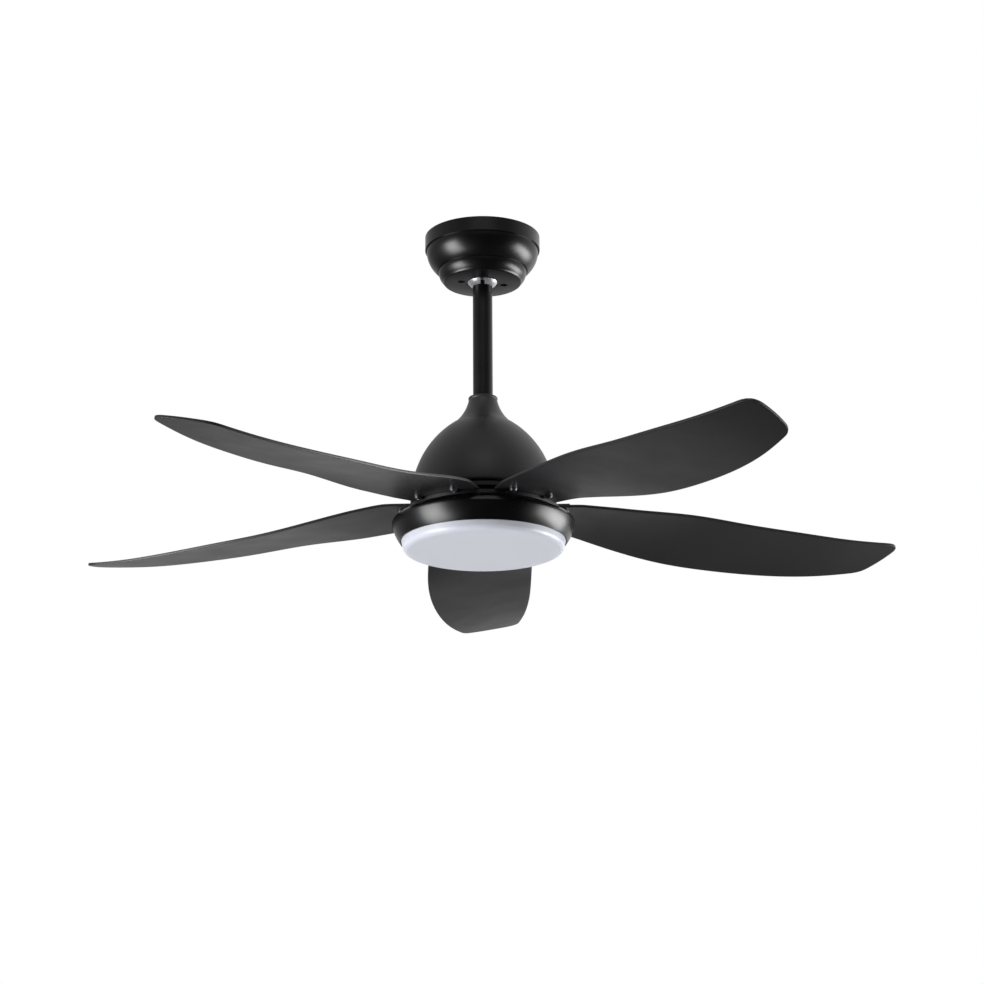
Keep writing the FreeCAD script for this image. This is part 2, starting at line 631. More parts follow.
# ---- hanger ball and rod --------------------------------------------------------------
def hanger_ball():
    """The ball on the rod's top, with the groove that the bracket's tab runs in."""
    ball = Part.makeSphere(BALL_RADIUS, vec(0, 0, ball_z))
    ball = ball.cut(block(-30, 30, -30, 30, ball_z + BALL_TOP_FLAT, ball_z + 40))
    ball = ball.cut(cylinder(rod_radius + ROD_FIT, ball_z - 40, ball_z + 40))
    half = TAB_WIDTH / 2 + GROOVE_CLEARANCE
    groove = Part.makeCylinder(BALL_RADIUS + 2, 2 * half, vec(-half, 0, ball_z), vec(1, 0, 0))
    floor = BALL_RADIUS - GROOVE_DEPTH
    groove = groove.cut(Part.makeCylinder(floor, 2 * half + 2, vec(-half - 1, 0, ball_z), vec(1, 0, 0)))
    groove = groove.common(block(-10, 10, -40, -GROOVE_START, ball_z - 40, ball_z + 40))
    ball = ball.cut(groove)
    ball = ball.cut(cross_pin(pin_hole_radius, BALL_RADIUS * 2 + 4))
    ball = ball.cut(ball_screw_shape(SET_SCREW_DIAMETER / 2))
    return ball.removeSplitter()


def cross_pin(radius, length):
    z = ball_z + BALL_PIN_RISE
    return rod_between(radius, vec(-length / 2, 0, z), vec(length / 2, 0, z))


def ball_pin():
    return cross_pin(PIN_DIAMETER / 2, BALL_PIN_LENGTH)


def ball_screw_shape(radius):
    z = ball_z + BALL_SCREW_RISE
    return rod_between(radius, vec(0, rod_radius, z), vec(0, BALL_RADIUS + 3, z))


def ball_lock_screw():
    """The grub screw that stops the ball turning on the rod, flush with the ball."""
    z = ball_z + BALL_SCREW_RISE
    end = math.sqrt(BALL_RADIUS ** 2 - BALL_SCREW_RISE ** 2) - BALL_SCREW_SINK
    screw = rod_between(SET_SCREW_DIAMETER / 2 - THREAD_CLEARANCE, vec(0, rod_radius, z), vec(0, end, z))
    socket_floor = end - BALL_SCREW_SOCKET_DEPTH
    return screw.cut(rod_between(BALL_SCREW_SOCKET_RADIUS, vec(0, socket_floor, z), vec(0, end + 1, z)))


def downrod():
    rod = tube(rod_radius, rod_radius - ROD_WALL, rod_bottom_z, rod_top_z)
    rod = rod.cut(cross_pin(pin_hole_radius, 2 * ROD_DIAMETER))
    return rod.cut(clevis_hole())


def clevis_hole():
    return rod_between(pin_hole_radius, vec(-30, 0, clevis_z), vec(30, 0, clevis_z))


# ---- coupling and neck --------------------------------------------------------------------
def coupling():
    """The collar that joins the rod to the motor's shaft and carries the dome."""
    top = neck_top_z - COUPLING_TOP_BELOW_NECK
    boss_bottom = flange_bottom_z - COUPLING_BOSS_HEIGHT
    body = cylinder(coupling_radius, flange_top_z - 1, top)
    body = body.fuse(cylinder(COUPLING_FLANGE_RADIUS, flange_bottom_z, flange_top_z))
    body = body.fuse(cylinder(COUPLING_BOSS_RADIUS, boss_bottom, flange_bottom_z + 1))
    body = body.cut(cylinder(rod_radius + ROD_FIT, rod_bottom_z - ROD_END_GAP, top + 1))
    body = body.cut(cylinder(SHAFT_UPPER_RADIUS, boss_bottom - 1, rod_bottom_z))
    body = body.cut(clevis_hole())
    body = body.cut(rod_between(SET_SCREW_DIAMETER / 2, vec(0, -30, set_screw_z), vec(0, 30, set_screw_z)))
    hole = cylinder(FLANGE_SCREW_DIAMETER / 2 + THREAD_CLEARANCE, flange_bottom_z - 1, flange_top_z + 1,
                    FLANGE_SCREW_CIRCLE)
    for tapped_hole in spread(hole, 2 * FLANGE_SCREW_COUNT):
        body = body.cut(tapped_hole)
    return body.removeSplitter()


def clevis_pin():
    """A headed pin through the coupling and the rod, drilled for its clip."""
    z = clevis_z
    pin = rod_between(PIN_DIAMETER / 2, vec(-coupling_radius, 0, z), vec(CLEVIS_PIN_LENGTH / 2, 0, z))
    head = rod_between(PIN_DIAMETER / 2 + CLEVIS_HEAD_MARGIN,
                       vec(-coupling_radius - CLEVIS_HEAD_LENGTH, 0, z), vec(-coupling_radius, 0, z))
    hole = cylinder(CLIP_WIRE / 2 + PIN_CLEARANCE, z - 10, z + 10, clip_x)
    return pin.fuse(head).cut(hole).removeSplitter()


def clevis_clip():
    """A bent wire: one leg through the pin, the other beside it."""
    wire = CLIP_WIRE / 2
    low = clevis_z - CLIP_LEG
    high = clevis_z + CLIP_LEG
    gap = PIN_DIAMETER / 2 + wire + CLIP_GAP
    through = cylinder(wire, low, high, clip_x)
    outside = cylinder(wire, low, high, clip_x, gap)
    bend = Part.makeTorus(gap / 2, wire, vec(clip_x, gap / 2, low), vec(1, 0, 0))
    bend = bend.common(block(clip_x - 4, clip_x + 4, -8, 12, low - 8, low))
    return through.fuse(outside).fuse(bend).removeSplitter()


def rod_set_screws():
    """Two hexagon-head screws that bear on the rod."""
    seat = coupling_radius
    shank = cylinder(SET_SCREW_DIAMETER / 2 - THREAD_CLEARANCE, rod_radius, seat + 0.5)
    screw = shank.fuse(hexagon(SET_SCREW_HEAD_RADIUS, seat, seat + SET_SCREW_HEAD_HEIGHT))
    screws = []
    for turn in (-90, 90):
        copy = screw.copy()
        copy.rotate(vec(0, 0, 0), vec(1, 0, 0), turn)
        screws.append(placed(copy, 0, 0, set_screw_z))
    return screws


def neck_cover():
    """The flared cover that hides the coupling."""
    top_radius = rod_radius + NECK_TOP_MARGIN
    hole = rod_radius + NECK_ROD_CLEARANCE
    lip_z = neck_top_z - NECK_LIP_HEIGHT
    lip_end = (top_radius, lip_z)
    base = (neck_base_radius, seam_z)
    inner_base = (neck_base_radius - NECK_WALL, seam_z)
    inner_top = (top_radius - NECK_WALL, lip_z)
    rim_in = (top_radius - NECK_RIM_ROUND, neck_top_z)
    rim_out = (top_radius, neck_top_z - NECK_RIM_ROUND)
    outline = [
        (hole, neck_top_z), rim_in, bulged(rim_in, rim_out, NECK_RIM_ROUND * 0.3), lip_end,
        bulged(lip_end, base, -NECK_HOLLOW), inner_base,
        bulged(inner_base, inner_top, NECK_HOLLOW), (hole, lip_z),
    ]
    return revolved(outline)


# ---- dome and driver board ----------------------------------------------------------------
def motor_dome():
    """The fixed cover over the motor."""
    start = (neck_base_radius + DOME_NECK_STEP, seam_z)
    end = (DOME_RADIUS, dome_bottom_z)
    inner_end = (DOME_RADIUS - DOME_WALL, dome_bottom_z)
    inner_start = (neck_base_radius - DOME_WALL * 0.2, seam_z - DOME_WALL)
    hole = coupling_radius + DOME_COUPLING_GAP
    outline = [
        start, bulged(start, end, DOME_BULGE), inner_end,
        bulged(inner_end, inner_start, -DOME_BULGE), (hole, flange_top_z), (hole, seam_z),
    ]
    dome = revolved(outline)
    hole = cylinder(DOME_SCREW_HOLE_RADIUS, flange_top_z - 1, seam_z + 1, FLANGE_SCREW_CIRCLE)
    for screw_hole in spread(hole, FLANGE_SCREW_COUNT):
        dome = dome.cut(screw_hole)
    return dome


def dome_screws():
    screw = pan_screw(DOME_SCREW_HEAD_RADIUS, DOME_SCREW_HEAD_HEIGHT, FLANGE_SCREW_DIAMETER,
                      DOME_WALL + COUPLING_FLANGE_HEIGHT)
    return spread(placed(upside_down(screw), FLANGE_SCREW_CIRCLE, 0, seam_z), FLANGE_SCREW_COUNT)


def between_flange_screws(shape):
    """Copies of a shape half way between the dome's screws."""
    return spread(shape, FLANGE_SCREW_COUNT, 180.0 / FLANGE_SCREW_COUNT)


def board_standoffs():
    post = cylinder(STANDOFF_RADIUS, board_z, flange_bottom_z, FLANGE_SCREW_CIRCLE)
    thread_radius = BOARD_SCREW_DIAMETER / 2 + THREAD_CLEARANCE
    post = post.cut(cylinder(thread_radius, board_z - 1, board_z + STANDOFF_HOLE_DEPTH, FLANGE_SCREW_CIRCLE))
    stud = cylinder(FLANGE_SCREW_DIAMETER / 2, flange_bottom_z - 1, flange_top_z - STANDOFF_STUD_SHORT,
                    FLANGE_SCREW_CIRCLE)
    return between_flange_screws(post.fuse(stud))


def motor_driver_board():
    board = tube(BOARD_RADIUS, BOARD_HOLE_RADIUS, board_z - BOARD_THICKNESS, board_z)
    hole = cylinder(BOARD_SCREW_DIAMETER / 2 + SCREW_CLEARANCE, board_z - 5, board_z + 5, FLANGE_SCREW_CIRCLE)
    for screw_hole in between_flange_screws(hole):
        board = board.cut(screw_hole)
    return board


def board_screws():
    screw = pan_screw(BOARD_SCREW_HEAD_RADIUS, BOARD_SCREW_HEAD_HEIGHT, BOARD_SCREW_DIAMETER,
                      BOARD_THICKNESS + BOARD_SCREW_REACH)
    return between_flange_screws(placed(screw, FLANGE_SCREW_CIRCLE, 0, board_z - BOARD_THICKNESS))


def driver_components():
    """Two capacitors, a choke, a chip, a plug socket and three transistors on the board."""
    circle = BOARD_RADIUS - COMPONENT_MARGIN
    capacitor = cylinder(CAPACITOR_RADIUS, board_z, board_z + CAPACITOR_HEIGHT, circle)
    choke = Part.makeTorus(CHOKE_RADIUS, CHOKE_WIRE_RADIUS, vec(circle, 0, board_z + CHOKE_WIRE_RADIUS))
    places = [(capacitor, 10), (capacitor, 40), (choke, 115)]
    places += [(component(CHIP_SIZE, circle), 160), (component(SOCKET_SIZE, circle), 215)]
    places += [(component(TRANSISTOR_SIZE, circle), angle) for angle in (265, 285, 305)]
    return [turned_about_z(shape, angle) for shape, angle in places]


def component(size, circle):
    """A box of a given length, width and height, standing on the board."""
    length, width, height = size
    return block(circle - length / 2, circle + length / 2, -width / 2, width / 2, board_z, board_z + height)


# ---- motor ----------------------------------------------------------------------------------
def motor_shaft():
    """A fixed hollow shaft: the leads to the light pass through it."""
    shoulder_z = upper_bearing_top_z
    top = rod_bottom_z - SHAFT_TOP_GAP
    shaft = cylinder(SHAFT_UPPER_RADIUS, shoulder_z, top)
    shaft = shaft.fuse(cylinder(SHAFT_RADIUS, shaft_bottom_z, shoulder_z + 1))
    shaft = shaft.cut(cylinder(SHAFT_BORE_RADIUS, shaft_bottom_z - 1, top + 1))
    groove = tube(SHAFT_RADIUS + 1, SHAFT_RADIUS - CIRCLIP_GROOVE_DEPTH, circlip_bottom_z,
                  circlip_bottom_z + CIRCLIP_GROOVE_WIDTH)
    return shaft.cut(groove).removeSplitter()


def shaft_circlip():
    """The open spring ring that holds the lower bearing up."""
    bottom = circlip_bottom_z + (CIRCLIP_GROOVE_WIDTH - CIRCLIP_THICKNESS) / 2
    clip = tube(SHAFT_RADIUS + CIRCLIP_WALL, SHAFT_RADIUS - CIRCLIP_BITE, bottom, bottom + CIRCLIP_THICKNESS)
    half = CIRCLIP_MOUTH / 2
    return clip.cut(block(0, 20, -half, half, bottom - 1, bottom + CIRCLIP_THICKNESS + 1))


def race_groove(middle_z):
    centre = (SHAFT_RADIUS + BEARING_RADIUS) / 2
    return Part.makeTorus(centre, BEARING_BALL_RADIUS + BEARING_CLEARANCE, vec(0, 0, middle_z))


def inner_race(bottom):
    race = tube(SHAFT_RADIUS + BEARING_RACE_WALL, SHAFT_RADIUS, bottom, bottom + BEARING_WIDTH)
    return race.cut(race_groove(bottom + BEARING_WIDTH / 2))


def outer_race(bottom):
    race = tube(BEARING_RADIUS, BEARING_RADIUS - BEARING_RACE_WALL, bottom, bottom + BEARING_WIDTH)
    return race.cut(race_groove(bottom + BEARING_WIDTH / 2))


def bearing_balls():
    centre = (SHAFT_RADIUS + BEARING_RADIUS) / 2
    balls = []
    for bottom in (upper_bearing_bottom_z, lower_bearing_bottom_z):
        ball = Part.makeSphere(BEARING_BALL_RADIUS, vec(centre, 0, bottom + BEARING_WIDTH / 2))
        balls += spread(ball, BEARING_BALL_COUNT)
    return balls


def stator_sleeve():
    return tube(SHAFT_RADIUS + STATOR_SLEEVE_WALL, SHAFT_RADIUS, lower_bearing_top_z, upper_bearing_bottom_z)


def stator_core():
    """The stack of laminations: a back ring and teeth with wide tips."""
    bottom = stator_mid_z - STATOR_HEIGHT / 2
    top = stator_mid_z + STATOR_HEIGHT / 2
    core = tube(STATOR_BACK_RADIUS, SHAFT_RADIUS + STATOR_SLEEVE_WALL, bottom, top)
    tip_inner = stator_radius - TOOTH_TIP_HEIGHT
    tooth = block(STATOR_BACK_RADIUS - 2, tip_inner + 1, -TOOTH_WIDTH / 2, TOOTH_WIDTH / 2, bottom, top)
    tip_angle = 360.0 / STATOR_TEETH - TOOTH_GAP_ANGLE
    tooth = tooth.fuse(ring_sector(stator_radius, tip_inner, bottom, top, -tip_angle / 2, tip_angle))
    return core.fuse(spread(tooth, STATOR_TEETH)).removeSplitter()


def stator_windings():
    """One coil round each tooth."""
    half_height = STATOR_HEIGHT / 2 + COIL_OVERHANG
    half_width = TOOTH_WIDTH / 2 + COIL_WALL
    end = stator_radius - TOOTH_TIP_HEIGHT - COIL_TIP_GAP
    coil = block(COIL_START_RADIUS, end, -half_width, half_width,
                 stator_mid_z - half_height, stator_mid_z + half_height)
    coil = coil.makeFillet(COIL_ROUND, [e for e in coil.Edges if abs(e.tangentAt(e.FirstParameter).x) > 0.9])
    coil = coil.cut(block(COIL_START_RADIUS - 1, end + 1, -TOOTH_WIDTH / 2, TOOTH_WIDTH / 2,
                          stator_mid_z - STATOR_HEIGHT / 2, stator_mid_z + STATOR_HEIGHT / 2))
    return spread(coil, STATOR_TEETH)


def rotor_bell():
    """The turning steel can: it holds the magnets and the upper bearing, and is flanged to the hub."""
    flange_radius = BELL_RADIUS + BELL_FLANGE_WIDTH
    flange_top = hub_top_z + BELL_FLANGE_HEIGHT
    roof_z = bell_top_z - BELL_ROOF
    seat_radius = BEARING_RADIUS + BELL_SEAT_WALL
    lip_radius = BEARING_RADIUS - BELL_BEARING_LIP
    corner_in = (BELL_RADIUS - BELL_CORNER_ROUND, bell_top_z)
    corner_out = (BELL_RADIUS, bell_top_z - BELL_CORNER_ROUND)
    outline = [
        (lip_radius, bell_top_z), corner_in, bulged(corner_in, corner_out, BELL_CORNER_BULGE),
        (BELL_RADIUS, flange_top), (flange_radius, flange_top), (flange_radius, hub_top_z),
        (bell_inner_radius, hub_top_z), (bell_inner_radius, roof_z - BELL_INNER_BEVEL),
        (bell_inner_radius - BELL_INNER_BEVEL, roof_z), (seat_radius, roof_z),
        (seat_radius, upper_bearing_bottom_z), (BEARING_RADIUS, upper_bearing_bottom_z),
        (BEARING_RADIUS, upper_bearing_top_z), (lip_radius, upper_bearing_top_z),
    ]
    bell = revolved(outline)
    hole_radius = BELL_SCREW_DIAMETER / 2 + SCREW_CLEARANCE
    for hole in bell_screw_places(cylinder(hole_radius, hub_top_z - 1, flange_top + 1)):
        bell = bell.cut(hole)
    return bell


def bell_screw_places(shape):
    """Copies of a shape on the circle of the bell's screws."""
    return spread(placed(shape, bell_screw_circle, 0, 0), BELL_SCREW_COUNT, FIRST_BLADE_ANGLE)


def bell_screws():
    screw = pan_screw(BELL_SCREW_HEAD_RADIUS, BELL_SCREW_HEAD_HEIGHT, BELL_SCREW_DIAMETER,
                      BELL_FLANGE_HEIGHT + BELL_SCREW_REACH)
    return bell_screw_places(placed(upside_down(screw), 0, 0, hub_top_z + BELL_FLANGE_HEIGHT))


def rotor_magnets():
    sweep = 360.0 / MAGNET_COUNT - MAGNET_GAP_ANGLE
    half = STATOR_HEIGHT / 2 + MAGNET_OVERHANG
    magnet = ring_sector(bell_inner_radius - MAGNET_GLUE, magnet_inner_radius,
                         stator_mid_z - half, stator_mid_z + half, 0, sweep)
    return spread(magnet, MAGNET_COUNT)


# ---- hub and blades ---------------------------------------------------------------------------
def blade_screw_holes(radius, bottom, top):
    hole = cylinder(radius, bottom, top, BLADE_SCREW_CIRCLE)
    return [turned_about_z(hole, side) for side in (-BLADE_SCREW_ANGLE, BLADE_SCREW_ANGLE)]


def blade_hub():
    """The cast hub: a disc with a lug over each blade's root, a groove, and a flange below."""
    rim = HUB_RIM_ROUND
    lip_radius = BEARING_RADIUS - HUB_BEARING_LIP
    outline = [
        (BEARING_RADIUS, hub_top_z), (BEARING_RADIUS + HUB_BOSS_WALL, hub_top_z),
        (BEARING_RADIUS + HUB_BOSS_WALL, hub_bottom_z + HUB_FLOOR),
        (HUB_POCKET_RADIUS, hub_bottom_z + HUB_FLOOR),
        (HUB_POCKET_RADIUS, hub_top_z), (HUB_DISC_RADIUS - rim, hub_top_z),
        bulged((HUB_DISC_RADIUS - rim, hub_top_z), (HUB_DISC_RADIUS, hub_top_z - rim), rim * 0.29),
        (HUB_DISC_RADIUS, groove_top_z + rim),
        bulged((HUB_DISC_RADIUS, groove_top_z + rim), (HUB_DISC_RADIUS - rim, groove_top_z), rim * 0.29),
        (HUB_GROOVE_RADIUS, groove_top_z), (HUB_GROOVE_RADIUS, hub_flange_top_z),
        (HUB_FLANGE_RADIUS - rim, hub_flange_top_z),
        bulged((HUB_FLANGE_RADIUS - rim, hub_flange_top_z), (HUB_FLANGE_RADIUS, hub_flange_top_z - rim),
               rim * 0.29),
        (HUB_FLANGE_RADIUS, hub_bottom_z + rim),
        bulged((HUB_FLANGE_RADIUS, hub_bottom_z + rim), (HUB_FLANGE_RADIUS - rim, hub_bottom_z), rim * 0.29),
        (lip_radius, hub_bottom_z), (lip_radius, lower_bearing_bottom_z),
        (BEARING_RADIUS, lower_bearing_bottom_z),
    ]
    hub = revolved(outline)
    lug = ring_sector(HUB_LUG_RADIUS, HUB_GROOVE_RADIUS - 1, blade_top_z, groove_top_z + 1.5,
                      -HUB_LUG_ANGLE / 2, HUB_LUG_ANGLE)
    tapped_radius = BLADE_SCREW_DIAMETER / 2 + THREAD_CLEARANCE
    for hole in blade_screw_holes(tapped_radius, blade_top_z - 1, groove_top_z + 5):
        lug = lug.cut(hole)
    hub = hub.fuse([turned_about_z(lug, angle) for angle in blade_angles])
    thread_radius = BELL_SCREW_DIAMETER / 2 + THREAD_CLEARANCE
    for hole in bell_screw_places(cylinder(thread_radius, hub_top_z - BELL_SCREW_HOLE_DEPTH, hub_top_z + 1)):
        hub = hub.cut(hole)
    return hub.removeSplitter()


def blade_section(share, drop, pitch):
    """A thin cambered section across the blade at one station."""
    radius = BLADE_FOLD_RADIUS + share * (BLADE_TIP_RADIUS - BLADE_FOLD_RADIUS)
    half = BLADE_SECTION_HALF_WIDTH
    slope = math.tan(math.radians(pitch))
    middle_z = (blade_top_z + blade_bottom_z) / 2 - drop
    camber = BLADE_CAMBER if share > 0 else 0.001
    edges = []
    rows = []
    for offset in (BLADE_THICKNESS / 2, -BLADE_THICKNESS / 2):
        lead = vec(radius, -half, middle_z + half * slope + offset)
        mid = vec(radius, 0, middle_z + camber + offset)
        trail = vec(radius, half, middle_z - half * slope + offset)
        rows.append((lead, mid, trail))
    top, bottom = rows
    edges.append(Part.Arc(*top).toShape())
    edges.append(Part.LineSegment(top[2], bottom[2]).toShape())
    edges.append(Part.Arc(*reversed(bottom)).toShape())
    edges.append(Part.LineSegment(bottom[0], top[0]).toShape())
    return Part.Wire(edges)


def edge_points(stations, side):
    span = BLADE_TIP_RADIUS - BLADE_FOLD_RADIUS
    return [vec(BLADE_FOLD_RADIUS + share * span, side * width, 0) for share, width in stations]


def spline(points):
    curve = Part.BSplineCurve()
    curve.interpolate(points)
    return curve.toShape()


def on_circle(radius, angle):
    return vec(radius * math.cos(math.radians(angle)), radius * math.sin(math.radians(angle)), 0)


def blade_planform():
    """The blade's outline seen from above, as a tall prism with rounded tip corners."""
    lead = edge_points(LEADING_EDGE, -1)
    trail = edge_points(TRAILING_EDGE, 1)
    tip_lead, tip_trail = lead[-1], trail[-1]
    across = tip_trail - tip_lead
    outward = vec(across.y, -across.x, 0).normalize()
    tip_middle = (tip_lead + tip_trail) * 0.5 + outward * TIP_BULGE
    inner_lead = on_circle(TONGUE_RADIUS, -TONGUE_LEAD_ANGLE)
    inner_trail = on_circle(TONGUE_RADIUS, TONGUE_TRAIL_ANGLE)
    edges = [
        Part.LineSegment(inner_lead, lead[0]).toShape(),
        spline(lead),
        Part.Arc(tip_lead, tip_middle, tip_trail).toShape(),
        spline(trail[::-1]),
        Part.LineSegment(trail[0], inner_trail).toShape(),
        Part.Arc(inner_trail, vec(TONGUE_RADIUS, 0, 0), inner_lead).toShape(),
    ]
    low = blade_bottom_z - 80
    face = Part.Face(Part.Wire(edges))
    face.translate(vec(0, 0, low))
    prism = face.extrude(vec(0, 0, 140))
    for corner, radius in ((tip_lead, LEAD_CORNER_ROUND), (tip_trail, TRAIL_CORNER_ROUND)):
        near = [e for e in prism.Edges if upright_at(e, corner)]
        prism = prism.makeFillet(radius, near)
    return prism


def upright_at(edge, corner):
    ends = [v.Point for v in edge.Vertexes]
    if len(ends) != 2 or abs(ends[0].z - ends[1].z) < 1:
        return False
    return all(math.hypot(p.x - corner.x, p.y - corner.y) < 0.01 for p in ends)


def blade():
    """One blade along +X: a flat root that slides into the hub's groove, folded into a twisted panel."""
    panel = Part.makeLoft([blade_section(*station) for station in BLADE_STATIONS], True, False)
    half = BLADE_SECTION_HALF_WIDTH
    root = block(TONGUE_RADIUS - 40, BLADE_FOLD_RADIUS + 0.01, -half, half, blade_bottom_z, blade_top_z)
    outline = blade_planform()
    whole = root.common(outline).fuse(panel.common(outline))
    hole_radius = BLADE_SCREW_DIAMETER / 2 + SCREW_CLEARANCE
    for hole in blade_screw_holes(hole_radius, blade_bottom_z - 2, blade_top_z + 2):
        whole = whole.cut(hole)
    return whole


def blade_fastener_places(shape, z):
    """Two of a fastener under each blade's root."""
    seated = placed(shape, BLADE_SCREW_CIRCLE, 0, z)
    return [turned_about_z(seated, angle + side)
            for angle in blade_angles for side in (-BLADE_SCREW_ANGLE, BLADE_SCREW_ANGLE)]


def blade_washers():
    hole_radius = BLADE_SCREW_DIAMETER / 2 + BLADE_WASHER_CLEARANCE
    washer = tube(BLADE_WASHER_RADIUS, hole_radius, -BLADE_WASHER_HEIGHT, 0)
    return blade_fastener_places(washer, blade_bottom_z)


def blade_screws():
    length = BLADE_WASHER_HEIGHT + BLADE_THICKNESS + HUB_LUG_HEIGHT
    screw = pan_screw(BLADE_SCREW_HEAD_RADIUS, BLADE_SCREW_HEAD_HEIGHT, BLADE_SCREW_DIAMETER, length)
    return blade_fastener_places(screw, blade_bottom_z - BLADE_WASHER_HEIGHT)


# ---- light -----------------------------------------------------------------------------------------
def plate_spacer():
    """The tube on the shaft between the circlip and the light's plate."""
    return tube(SHAFT_RADIUS + SPACER_WALL, SHAFT_RADIUS, plate_top_z, circlip_bottom_z)


def light_plate():
    """The round steel plate on the shaft that carries everything of the light."""
    low = plate_bottom_z - 1
    high = plate_top_z + 1
    plate = tube(plate_radius, SHAFT_RADIUS + SHAFT_HOLE_CLEARANCE, plate_bottom_z, plate_top_z)
    for hole in ring_tab_places(cylinder(RING_SCREW_HOLE_RADIUS, low, high, ring_tab_circle)):
        plate = plate.cut(hole)
    for hole in led_driver_holes(low, high):
        plate = plate.cut(hole)
    return plate


def ring_tab_places(shape):
    """Copies of a shape at the ring's tabs."""
    return spread(shape, RING_TAB_COUNT, RING_TAB_START)


def shaft_washer():
    return tube(SHAFT_RADIUS + WASHER_MARGIN, SHAFT_RADIUS + SHAFT_HOLE_CLEARANCE,
                plate_bottom_z - WASHER_HEIGHT, plate_bottom_z)


def shaft_nut():
    top = plate_bottom_z - WASHER_HEIGHT
    nut = hexagon(SHAFT_RADIUS + NUT_MARGIN, top - NUT_HEIGHT, top)
    return nut.cut(cylinder(SHAFT_RADIUS, top - NUT_HEIGHT - 1, top + 1))


def light_ring():
    """The turned ring round the light: rolled lip above, tapering in to the lens."""
    lip_in = (RING_LIP_RADIUS - RING_WALL / 2, ring_top_z - RING_LIP_DROP)
    shoulder = (RING_RADIUS - RING_SHOULDER_INSET, ring_top_z - RING_SHOULDER_DROP)
    belly = (RING_RADIUS, ring_top_z - RING_BELLY_DROP)
    foot = (RING_OPENING_RADIUS + RING_FOOT_WIDTH, ring_bottom_z)
    foot_in = (RING_OPENING_RADIUS, ring_bottom_z)
    step = (RING_OPENING_RADIUS, ring_bottom_z + RING_STEP_HEIGHT)
    inner_belly = (RING_RADIUS - RING_WALL, ring_top_z - RING_INNER_BELLY_DROP)
    seat = (lip_in[0], plate_bottom_z - RING_PLATE_OVERLAP)
    outline = [
        lip_in, bulged(lip_in, shoulder, RING_LIP_BULGE), bulged(shoulder, belly, RING_SHOULDER_BULGE),
        bulged(belly, foot, RING_TAPER_BULGE), foot_in, step,
        bulged(step, inner_belly, -RING_TAPER_BULGE), seat,
    ]
    ring = revolved(outline)
    ring = ring.fuse(ring_ledge(belly, foot)).fuse(ring_tabs())
    return ring.removeSplitter()


def ring_ledge(belly, foot):
    """The ledge inside the ring that the lens's lugs turn over, with a slot for each lug."""
    ledge = tube(RING_RADIUS, RING_OPENING_RADIUS + 0.2, ledge_top_z - LEDGE_HEIGHT, ledge_top_z)
    outside = revolved([
        belly, bulged(belly, foot, RING_TAPER_BULGE), (RING_RADIUS + 20, ring_bottom_z),
        (RING_RADIUS + 20, belly[1]),
    ])
    ledge = ledge.cut(outside)
    gap = ring_sector(RING_OPENING_RADIUS + SLOT_CLEARANCE + LUG_REACH, RING_OPENING_RADIUS - 4,
                      ledge_top_z - 2 * LEDGE_HEIGHT, ledge_top_z + 1,
                      UNLOCK_ANGLE - SLOT_ANGLE / 2, SLOT_ANGLE)
    for slot in spread(gap, LUG_COUNT):
        ledge = ledge.cut(slot)
    return ledge


def ring_tabs():
    """The tabs inside the ring, screwed up to the plate."""
    top = plate_bottom_z
    bottom = top - RING_TAB_THICKNESS
    half = RING_TAB_WIDTH / 2
    tab = block(ring_tab_circle - half, RING_RADIUS - RING_WALL, -half, half, bottom, top)
    tab = tab.common(cylinder(RING_RADIUS - RING_WALL / 2, bottom - 1, top + 1))
    tab = tab.cut(cylinder(RING_SCREW_DIAMETER / 2 + THREAD_CLEARANCE, bottom - 1, top + 1, ring_tab_circle))
    return ring_tab_places(tab)


def ring_screws():
    """Three screws up through the ring's tabs into the plate."""
    screw = pan_screw(RING_SCREW_HEAD_RADIUS, RING_SCREW_HEAD_HEIGHT, RING_SCREW_DIAMETER,
                      RING_TAB_THICKNESS + PLATE_THICKNESS + RING_SCREW_REACH)
    return ring_tab_places(placed(screw, ring_tab_circle, 0, plate_bottom_z - RING_TAB_THICKNESS))


def led_driver_holes(bottom, top):
    radius = LED_DRIVER_SCREW_DIAMETER / 2 + THREAD_CLEARANCE
    places = (-led_driver_screw_x, led_driver_screw_x)
    return [cylinder(radius, bottom, top, x, LED_DRIVER_OFFSET) for x in places]


def led_driver():
    length, width, height = LED_DRIVER_SIZE
    y = LED_DRIVER_OFFSET
    top = plate_bottom_z
    box = block(-length / 2, length / 2, y - width / 2, y + width / 2, top - height, top)
    box = box.makeFillet(LED_DRIVER_ROUND, upright_edges(box))
    foot_end = length / 2 + LED_DRIVER_FOOT
    half = LED_DRIVER_FOOT_WIDTH / 2
    case = box.fuse(block(-foot_end, foot_end, y - half, y + half, top - LED_DRIVER_FOOT_HEIGHT, top))
    for hole in led_driver_holes(top - 5, top + 1):
        case = case.cut(hole)
    return case.removeSplitter()


def led_driver_screws():
    screw = pan_screw(LED_DRIVER_SCREW_HEAD_RADIUS, LED_DRIVER_SCREW_HEAD_HEIGHT, LED_DRIVER_SCREW_DIAMETER,
                      LED_DRIVER_FOOT_HEIGHT + PLATE_THICKNESS)
    seat_z = plate_bottom_z - LED_DRIVER_FOOT_HEIGHT
    return [placed(screw, x, LED_DRIVER_OFFSET, seat_z) for x in (-led_driver_screw_x, led_driver_screw_x)]


def led_standoff_places(shape):
    """Copies of a shape on the circle of the light board's posts."""
    return spread(placed(shape, LED_STANDOFF_CIRCLE, 0, 0), LED_STANDOFF_COUNT, LED_STANDOFF_START)


def led_standoffs():
    return led_standoff_places(cylinder(LED_STANDOFF_RADIUS, led_board_z, plate_bottom_z))


